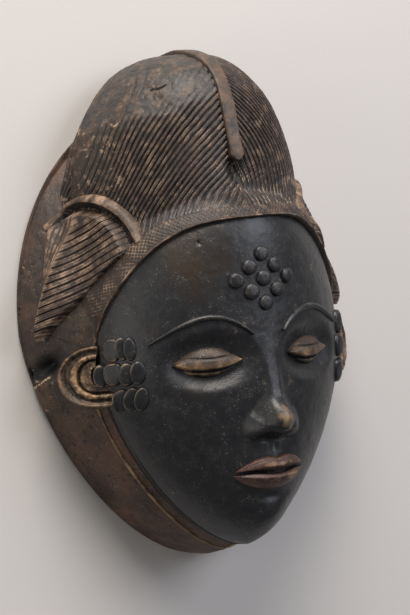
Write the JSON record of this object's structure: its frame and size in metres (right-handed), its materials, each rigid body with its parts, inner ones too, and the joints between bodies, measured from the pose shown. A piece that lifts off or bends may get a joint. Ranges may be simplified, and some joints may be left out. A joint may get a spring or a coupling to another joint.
{
  "type": "punu mask",
  "caption": "Carved wooden face mask with a domed comb-grooved crest, side tresses, ears and raised scars, hollow behind, lying face up on its flat rim.",
  "frame": {"origin": "middle of the mask's outline, on the flat back rim that it lies on", "axes": "+X across the face to the mask's left side, +Y from the chin to the crest, +Z from the back rim up to the face"},
  "size_m": [0.2108, 0.2961, 0.1033],
  "materials": {
    "carved_wood": "old carved hardwood with a smoke-dark patina, satin on the face and worn to brown and ochre on the raised edges"
  },
  "bodies": {
    "root": {"mask": "carved_wood"}
  },
  "joints": []
}
